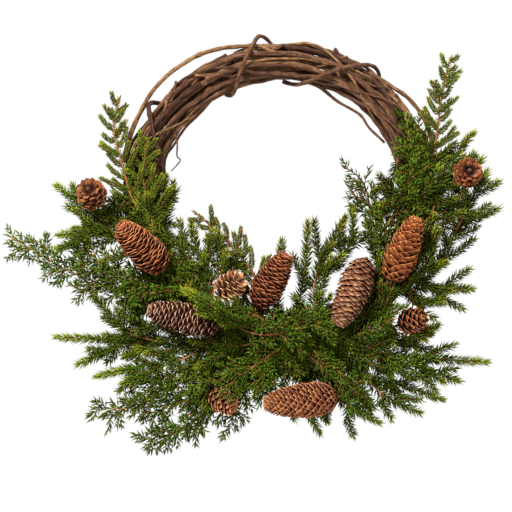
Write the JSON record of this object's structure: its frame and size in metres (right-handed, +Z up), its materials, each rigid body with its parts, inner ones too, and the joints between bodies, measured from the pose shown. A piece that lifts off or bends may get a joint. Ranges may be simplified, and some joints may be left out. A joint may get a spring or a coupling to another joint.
{
  "type": "willow pinecone wreath",
  "caption": "Hanging wreath: a ring of bound willow vines whose lower half is dressed with evergreen sprays and pine cones, open in the middle.",
  "frame": {"origin": "the hanging point: the underside of the vine ring at its top, where a nail or hook carries it", "axes": "+X to the right seen from the front, +Y to the wall behind, +Z up; the front faces -Y"},
  "size_m": [0.6255, 0.106, 0.5256],
  "materials": {
    "willow_bark": "dry rough bark, brown with paler worn ridges",
    "cone_dark": "dark brown woody scales with pale rims",
    "cone_brown": "mid brown woody scales",
    "cone_orange": "orange tan woody scales",
    "cone_pale": "pale pinkish tan woody scales",
    "spruce_green": "satin dark green needles on orange brown twigs",
    "frond_green": "satin fresh green needles on orange brown twigs",
    "cypress_green": "satin grey green fine needles"
  },
  "bodies": {
    "root": {"vine_inner_1": "willow_bark", "vine_inner_2": "willow_bark", "vine_outer_1": "willow_bark", "vine_outer_2": "willow_bark", "vine_outer_3": "willow_bark", "vine_outer_4": "willow_bark", "vine_wrap_top": "willow_bark", "vine_wrap_left": "willow_bark", "vine_wrap_right": "willow_bark", "vine_loose_left": "willow_bark", "vine_loose_right": "willow_bark", "vine_loose_inner": "willow_bark", "cone_left": "cone_brown", "cone_low_left": "cone_dark", "cone_middle": "cone_dark", "cone_right_low": "cone_pale", "cone_right": "cone_orange", "cone_bottom": "cone_orange", "cone_small_middle": "cone_pale", "cone_small_bottom": "cone_orange", "cone_small_low_right": "cone_brown", "cone_small_left": "cone_brown", "cone_small_right": "cone_brown", "frond_right": "frond_green", "spruce_right_upper": "spruce_green", "spruce_right_fork": "spruce_green", "spruce_right_mid": "spruce_green", "spruce_right_short": "spruce_green", "spruce_right_long": "spruce_green", "spruce_low_right": "spruce_green", "spruce_bottom_right": "spruce_green", "spruce_bottom": "spruce_green", "frond_left_outer": "frond_green", "spruce_left": "spruce_green", "cypress_left_long": "cypress_green", "cypress_left_short": "cypress_green", "spruce_left_inner": "spruce_green", "spruce_hole_left": "spruce_green", "spruce_behind_cone": "spruce_green", "frond_centre": "frond_green", "spruce_hole_upright": "spruce_green", "spruce_hole_right": "spruce_green", "cypress_right_inner": "cypress_green", "spruce_low_left": "spruce_green", "spruce_low_pale": "spruce_green", "cypress_bottom_left": "cypress_green", "cypress_low_left": "cypress_green", "cypress_low_upper": "cypress_green", "spruce_ring_left": "spruce_green", "frond_left_inner": "frond_green", "cypress_left_front": "cypress_green", "spruce_centre_low": "spruce_green", "spruce_front_left": "spruce_green", "cypress_centre_left": "cypress_green", "cypress_centre": "cypress_green", "cypress_bottom_front": "cypress_green", "cypress_centre_right": "cypress_green", "cypress_right_top": "cypress_green"}
  },
  "joints": []
}
